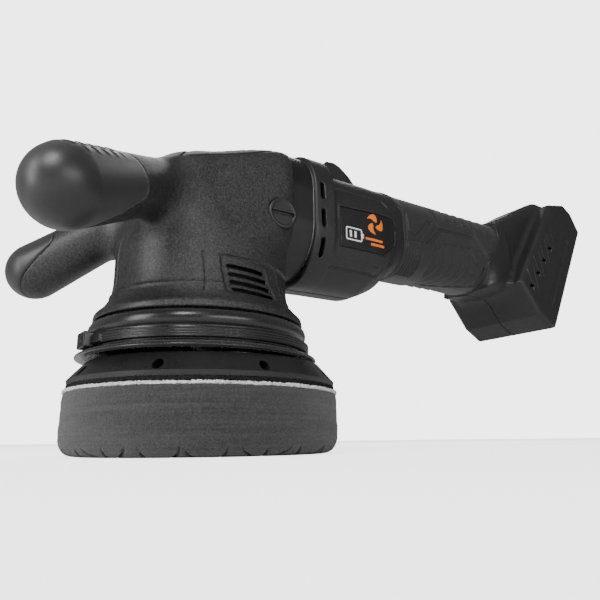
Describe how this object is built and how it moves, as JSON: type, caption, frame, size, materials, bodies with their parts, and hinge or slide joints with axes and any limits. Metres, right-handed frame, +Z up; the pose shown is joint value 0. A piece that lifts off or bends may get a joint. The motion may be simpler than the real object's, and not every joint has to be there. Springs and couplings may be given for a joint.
{
  "type": "rotary polisher",
  "caption": "Cordless dual-action polisher with a round foam pad, two front horn grips, a rubber boot, an in-line motor handle and a slanted battery foot.",
  "frame": {"origin": "where the drive spindle axis crosses the working face of the foam pad", "axes": "+Z up along the drive spindle, +X from the head back along the handle to the battery foot, +Y to the right-hand side"},
  "size_m": [0.4642, 0.1877, 0.22],
  "materials": {
    "shell_plastic": "matte spark texture",
    "housing_plastic": "matte spark texture",
    "plug_plastic": "satin",
    "horn_rubber": "smooth satin rubber",
    "palm_rubber": "embossed matte rubber",
    "grip_rubber": "moulded matte rubber",
    "boot_rubber": "satin rubber",
    "strap_plastic": "satin",
    "gloss_black": "cast, gloss black coat on the flange",
    "zinc_steel": "zinc plated",
    "bearing_steel": "ground",
    "machined_steel": "turned",
    "gear_steel": "oiled",
    "spring_steel": "phosphated",
    "cast_weight": "sintered",
    "retainer_aluminium": "as cast",
    "stator_iron": "laminated, varnished",
    "rotor_iron": "laminated",
    "magnet": "nickel plated",
    "fan_plastic": "moulded",
    "inner_plastic": "moulded",
    "circuit_board": "solder mask",
    "badge_black": "printed film",
    "display_gloss": "gloss film",
    "button_plastic": "satin",
    "light_pipe": "frosted",
    "contact_brass": "plated",
    "wire_sheath": "vinyl",
    "switch_plastic": "matte",
    "plate_plastic": "satin",
    "hook_fabric": "hooked pile",
    "loop_fabric": "brushed loop",
    "foam": "open-cell foam"
  },
  "bodies": {
    "housing": {"air_baffle": "inner_plastic", "badge_left": "badge_black", "badge_right": "badge_black", "bearing_retainer": "retainer_aluminium", "boot": "boot_rubber", "boot_strap": "strap_plastic", "control_board": "circuit_board", "display_board": "circuit_board", "display_panel": "display_gloss", "gear_case": "gloss_black", "gear_case_screws": "zinc_steel", "grip_sleeve": "grip_rubber", "head_screws": "zinc_steel", "head_shell_left": "shell_plastic", "head_shell_right": "shell_plastic", "horn_grip_left": "horn_rubber", "horn_grip_right": "horn_rubber", "housing_screws": "zinc_steel", "light_pipe": "light_pipe", "microswitch": "inner_plastic", "motor_front_bearing": "bearing_steel", "motor_rear_bearing": "bearing_steel", "motor_shell_left": "housing_plastic", "motor_shell_right": "housing_plastic", "palm_pad": "palm_rubber", "retainer_screws": "zinc_steel", "sensor_board": "circuit_board", "side_plugs": "plug_plastic", "spindle_lower_bearing": "bearing_steel", "spindle_upper_bearing": "bearing_steel", "stator": "stator_iron", "terminal_block": "inner_plastic", "terminals": "contact_brass", "wiring": "wire_sheath"},
    "rotor": {"motor_shaft": "machined_steel", "rotor_core": "rotor_iron", "magnets": "magnet", "cooling_fan": "fan_plastic", "bevel_pinion": "gear_steel"},
    "drive_spindle": {"drive_spindle": "machined_steel", "bevel_wheel": "gear_steel", "spindle_spacer": "machined_steel", "counterweight": "cast_weight", "pad_bearings": "bearing_steel", "pad_bearing_spacer": "machined_steel", "carrier_ring": "spring_steel"},
    "pad": {"pad_spindle": "machined_steel", "spindle_ring": "spring_steel", "backing_plate": "plate_plastic", "pad_bolt": "zinc_steel", "pad_washer": "zinc_steel", "hook_disc": "hook_fabric", "loop_layer": "loop_fabric", "foam_pad": "foam"},
    "power_switch": {"power_switch": "switch_plastic"},
    "speed_up_button": {"speed_up_button": "button_plastic"},
    "speed_down_button": {"speed_down_button": "button_plastic"}
  },
  "joints": [
    {"name": "spindle_spin", "type": "hinge", "parent": "housing", "child": "drive_spindle", "pos_m": [0, 0, 0.105], "axis": [0, 0, 1], "continuous": true},
    {"name": "motor_spin", "type": "hinge", "parent": "housing", "child": "rotor", "pos_m": [0.08, 0, 0.147], "axis": [1, 0, 0], "continuous": true},
    {"name": "pad_spin", "type": "hinge", "parent": "drive_spindle", "child": "pad", "pos_m": [0.004, 0, 0.075], "axis": [0, 0, 1], "continuous": true},
    {"name": "power_slide", "type": "slide", "parent": "housing", "child": "power_switch", "axis": [-1, 0, 0], "range_m": [0, 0.007]},
    {"name": "speed_up_press", "type": "slide", "parent": "housing", "child": "speed_up_button", "axis": [0.4814, 0, -0.8765], "range_m": [0, 0.0008]},
    {"name": "speed_down_press", "type": "slide", "parent": "housing", "child": "speed_down_button", "axis": [0.4814, 0, -0.8765], "range_m": [0, 0.0008]}
  ],
  "couplings": [
    {"joint": "motor_spin", "follows": "spindle_spin", "ratio": 3}
  ]
}
